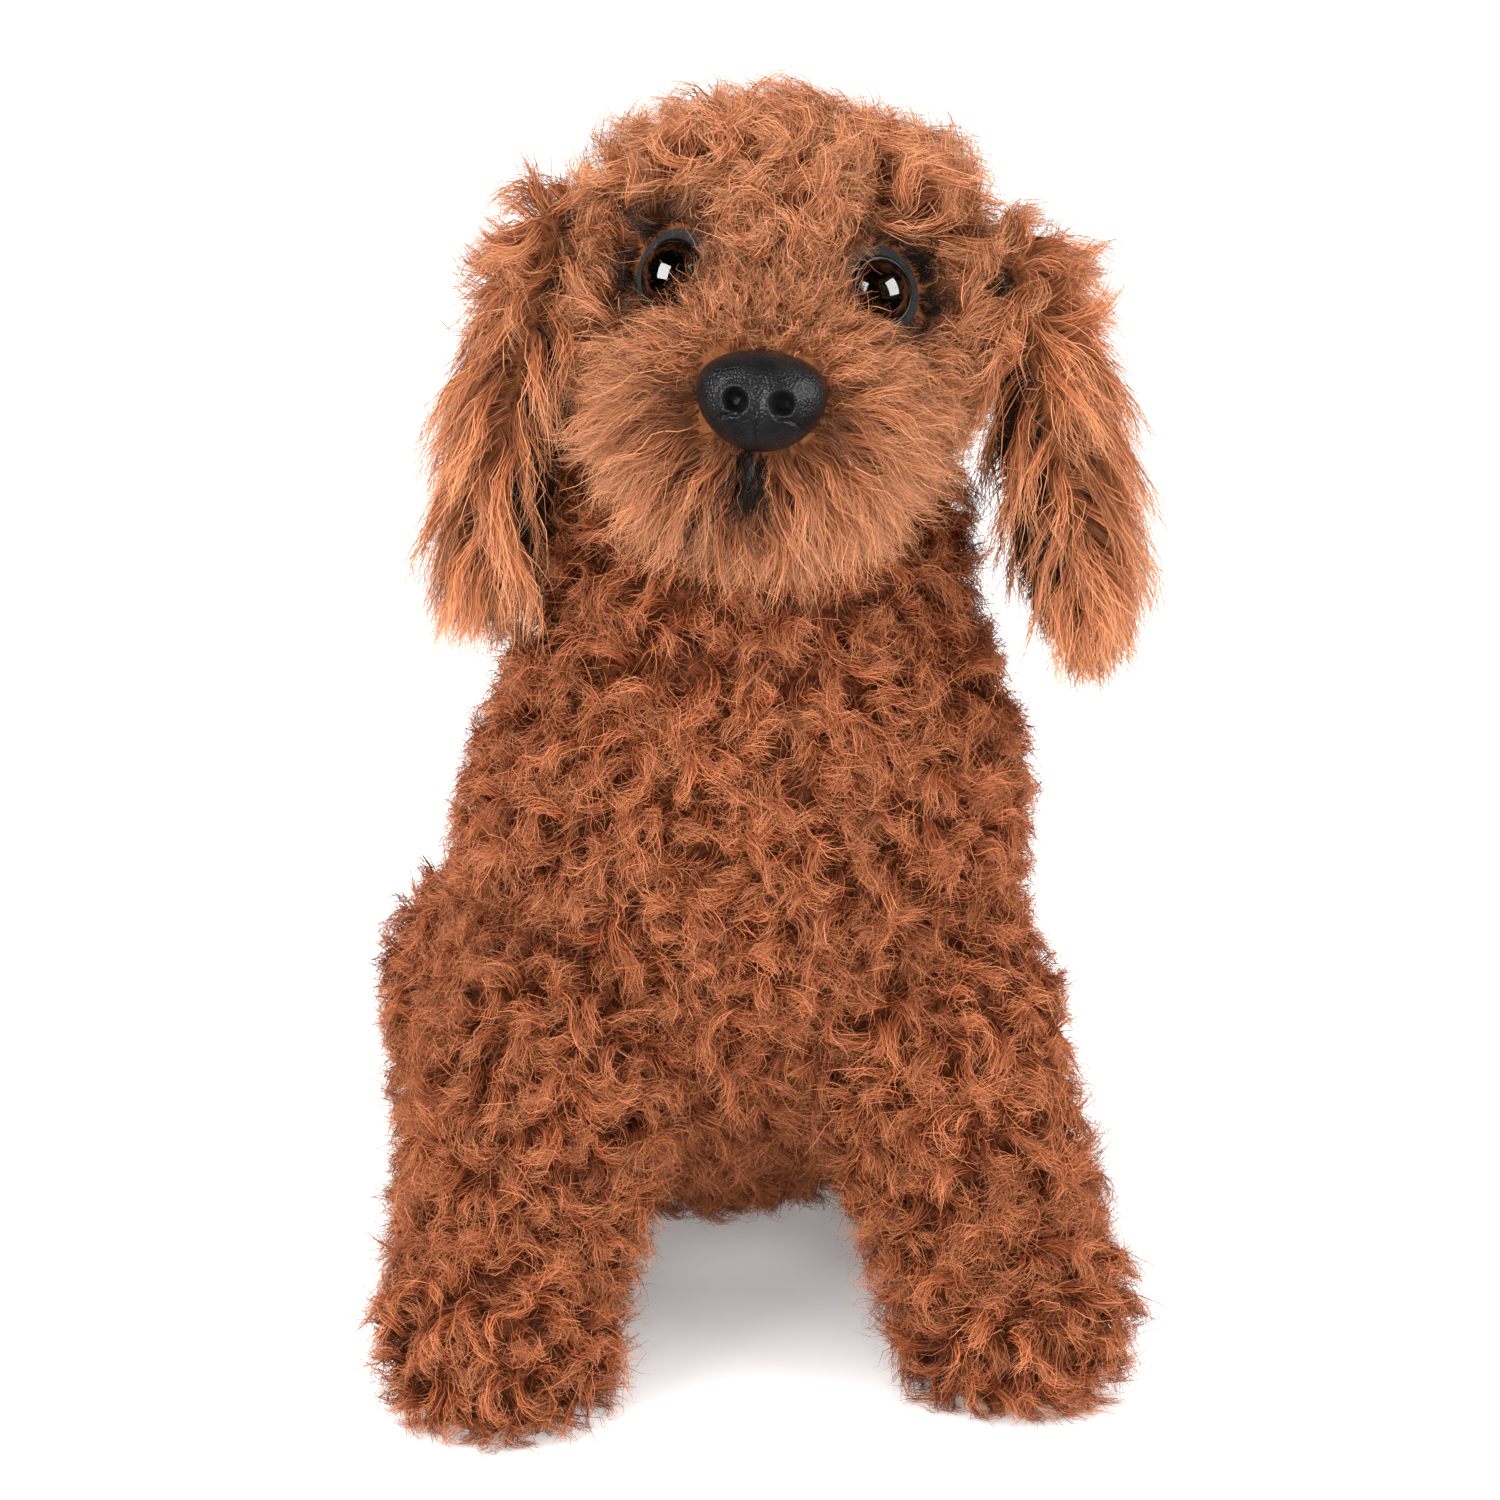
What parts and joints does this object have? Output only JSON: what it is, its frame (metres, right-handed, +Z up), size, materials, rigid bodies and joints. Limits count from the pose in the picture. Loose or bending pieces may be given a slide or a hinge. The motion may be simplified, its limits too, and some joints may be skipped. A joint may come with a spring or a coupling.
{
  "type": "plush dog",
  "caption": "Sitting plush dog with curly fur, a sewn and stuffed soft toy whose head, ears, legs and tail move softly on their seams.",
  "frame": {"origin": "on the floor, under the middle of the whole dog's outline", "axes": "+Z up, the dog faces -Y, +X is the dog's own left side"},
  "size_m": [0.1692, 0.2313, 0.292],
  "materials": {
    "body_fur": "curly pile fur, reddish brown",
    "head_fur": "curly pile fur, brown",
    "muzzle_fur": "long combed pile fur, tan",
    "ear_fur": "long straight pile fur, tan",
    "ear_lining": "short pile plush, dark brown",
    "fibre_filling": "white polyester fibre",
    "sole_felt": "mustard felt",
    "washer_plastic": "white polypropylene",
    "pellet_bag": "cotton bag of plastic pellets",
    "nose_plastic": "charcoal black, pebbled, satin",
    "thread": "black thread",
    "black_felt": "black felt",
    "eye_black": "polished black",
    "eye_iris": "dark brown paint",
    "eye_lens": "polished clear dome"
  },
  "bodies": {
    "torso": {"torso_cloth": "body_fur", "torso_filling": "fibre_filling", "pellet_bag": "pellet_bag"},
    "neck": {"neck_cloth": "body_fur", "neck_filling": "fibre_filling"},
    "head": {"head_cloth": "head_fur", "muzzle_cloth": "muzzle_fur", "head_filling": "fibre_filling", "nose": "nose_plastic", "nose_washer": "washer_plastic", "mouth_stitches": "thread", "left_eye_patch": "black_felt", "left_eye_button": "eye_black", "left_eye_iris": "eye_iris", "left_eye_lens": "eye_lens", "left_eye_washer": "washer_plastic", "right_eye_patch": "black_felt", "right_eye_button": "eye_black", "right_eye_iris": "eye_iris", "right_eye_lens": "eye_lens", "right_eye_washer": "washer_plastic"},
    "left_ear": {"left_ear_cloth": "ear_fur", "left_ear_lining": "ear_lining"},
    "right_ear": {"right_ear_cloth": "ear_fur", "right_ear_lining": "ear_lining"},
    "left_front_leg": {"left_front_leg_cloth": "body_fur", "left_front_leg_filling": "fibre_filling", "left_front_leg_sole": "sole_felt"},
    "right_front_leg": {"right_front_leg_cloth": "body_fur", "right_front_leg_filling": "fibre_filling", "right_front_leg_sole": "sole_felt"},
    "left_rear_leg": {"left_rear_leg_cloth": "body_fur", "left_rear_leg_filling": "fibre_filling", "left_rear_leg_sole": "sole_felt"},
    "right_rear_leg": {"right_rear_leg_cloth": "body_fur", "right_rear_leg_filling": "fibre_filling", "right_rear_leg_sole": "sole_felt"},
    "tail": {"tail_cloth": "body_fur", "tail_filling": "fibre_filling"}
  },
  "joints": [
    {"name": "neck_turn", "type": "hinge", "parent": "torso", "child": "neck", "pos_m": [0.0024, -0.0345, 0.184], "axis": [0, 0, 1], "range_deg": [-20, 20], "stiffness_Nm_per_rad": 1},
    {"name": "head_nod", "type": "hinge", "parent": "neck", "child": "head", "pos_m": [0.0074, -0.0385, 0.251], "axis": [0.9803, -0.1851, -0.0687], "range_deg": [-10, 10], "stiffness_Nm_per_rad": 2},
    {"name": "left_ear_swing", "type": "hinge", "parent": "head", "child": "left_ear", "pos_m": [0.05525, -0.03981, 0.26778], "axis": [0.0365, -0.9871, 0.1556], "range_deg": [0, 95]},
    {"name": "right_ear_swing", "type": "hinge", "parent": "head", "child": "right_ear", "pos_m": [-0.03494, -0.02278, 0.2741], "axis": [0.3711, 0.9102, -0.1841], "range_deg": [0, 95]},
    {"name": "left_front_leg_swing", "type": "hinge", "parent": "torso", "child": "left_front_leg", "pos_m": [0.0404, -0.0485, 0.088], "axis": [-1, 0, 0], "range_deg": [-4, 15], "stiffness_Nm_per_rad": 4},
    {"name": "right_front_leg_swing", "type": "hinge", "parent": "torso", "child": "right_front_leg", "pos_m": [-0.0436, -0.0485, 0.088], "axis": [-1, 0, 0], "range_deg": [-4, 15], "stiffness_Nm_per_rad": 4},
    {"name": "left_rear_leg_splay", "type": "hinge", "parent": "torso", "child": "left_rear_leg", "pos_m": [0.0424, 0.0415, 0.062], "axis": [0, 0, 1], "range_deg": [-8, 5], "stiffness_Nm_per_rad": 2},
    {"name": "right_rear_leg_splay", "type": "hinge", "parent": "torso", "child": "right_rear_leg", "pos_m": [-0.0456, 0.0415, 0.062], "axis": [0, 0, -1], "range_deg": [-8, 8], "stiffness_Nm_per_rad": 2},
    {"name": "tail_wag", "type": "hinge", "parent": "torso", "child": "tail", "pos_m": [-0.0016, 0.0815, 0.072], "axis": [0, -0.788, 0.6157], "range_deg": [-25, 25], "stiffness_Nm_per_rad": 0.15}
  ]
}
